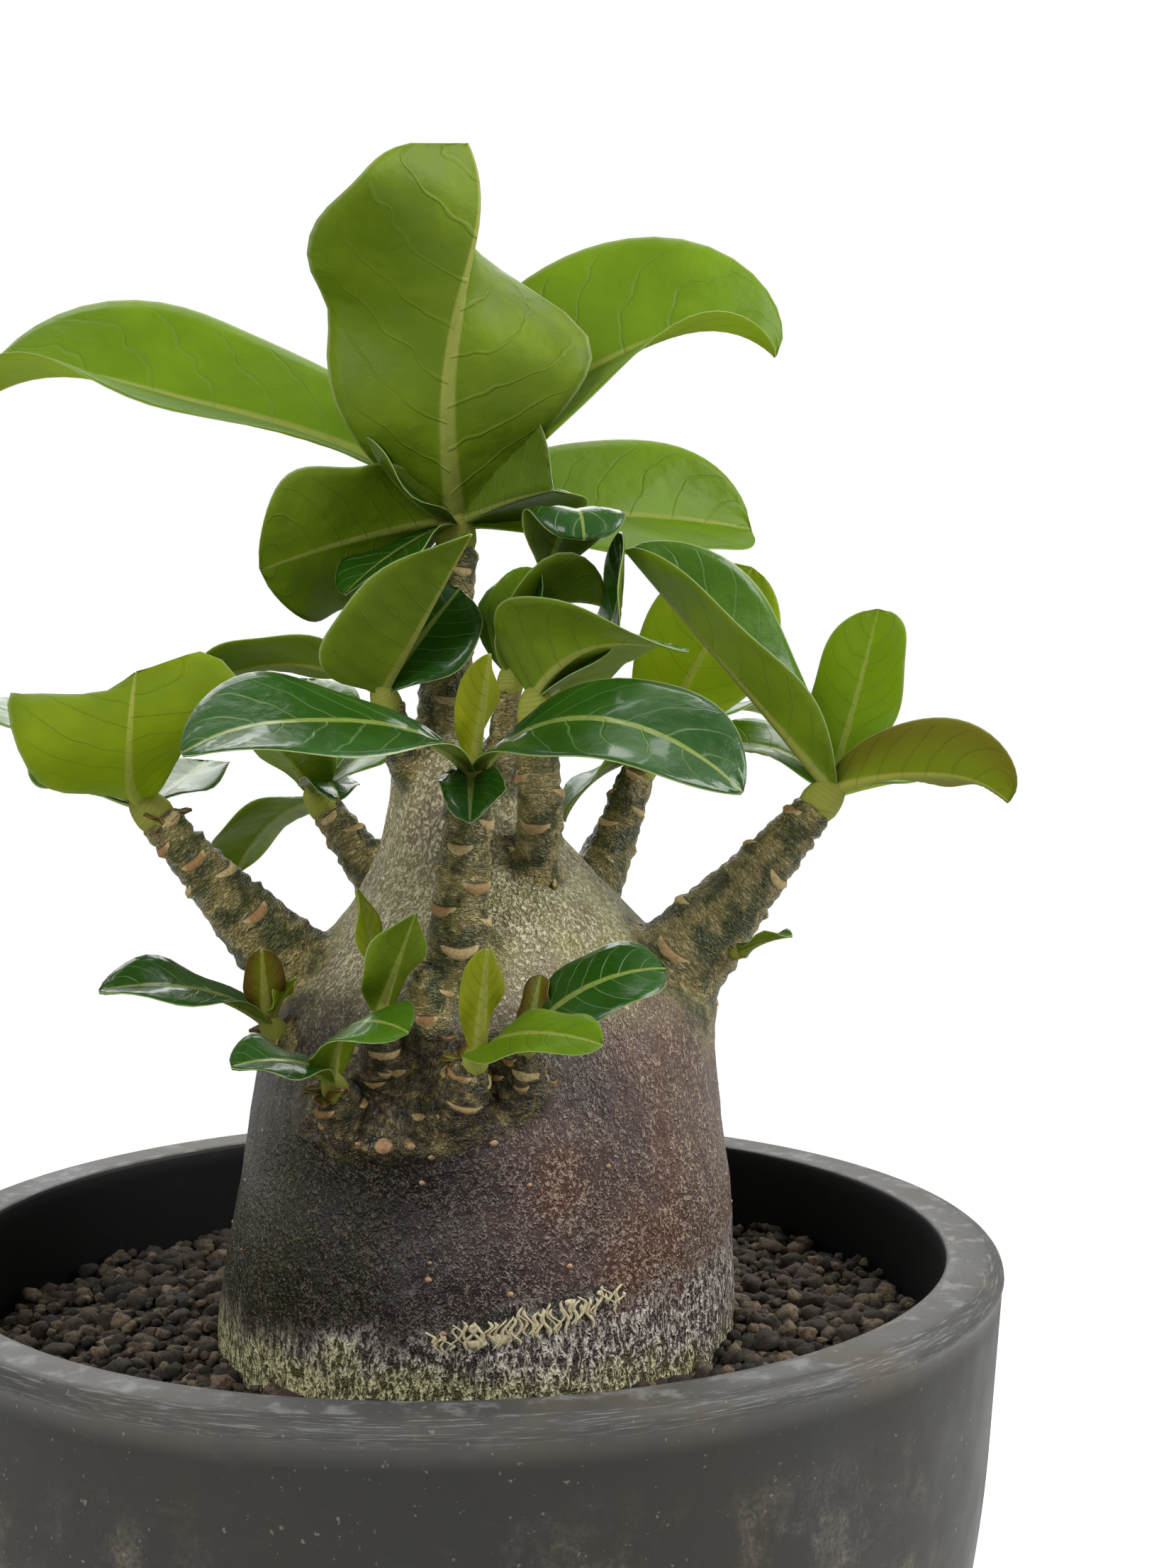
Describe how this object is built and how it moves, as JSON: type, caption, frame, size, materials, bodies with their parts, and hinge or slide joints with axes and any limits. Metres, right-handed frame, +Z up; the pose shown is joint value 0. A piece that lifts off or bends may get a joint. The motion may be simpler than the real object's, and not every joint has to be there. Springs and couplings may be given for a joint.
{
  "type": "potted desert rose adenium",
  "caption": "Desert rose with a swollen trunk, short ringed branches and glossy leaf tufts, in gritty soil in a round bowl-footed planter.",
  "frame": {"origin": "middle of the pot's flat base, on the surface it stands on", "axes": "+Z up, +X to the right and +Y away as seen from the plant's front, where the small side sprouts are"},
  "size_m": [0.2494, 0.2494, 0.4334],
  "materials": {
    "pot_resin": "dark grey matte moulded resin with a lighter worn rim",
    "soil_mix": "coarse brown-grey granular mix",
    "bark": "waxy purple-brown to olive skin with fine pale streaks, corky scars and ringed leaf scars",
    "leaf": "glossy dark green blade with a paler matte underside and a yellow-green midrib"
  },
  "bodies": {
    "root": {"pot": "pot_resin", "soil": "soil_mix", "trunk": "bark", "leaves_leader": "leaf", "leaves_centre": "leaf", "leaves_front_right": "leaf", "leaves_centre_left": "leaf", "leaves_front": "leaf", "leaves_left": "leaf", "leaves_back_left": "leaf", "leaves_right": "leaf", "leaves_back_right": "leaf", "sprout_left": "leaf", "sprout_front_left": "leaf", "sprout_centre": "leaf", "sprout_front": "leaf", "sprout_front_right": "leaf", "sprout_under_right": "leaf"}
  },
  "joints": []
}
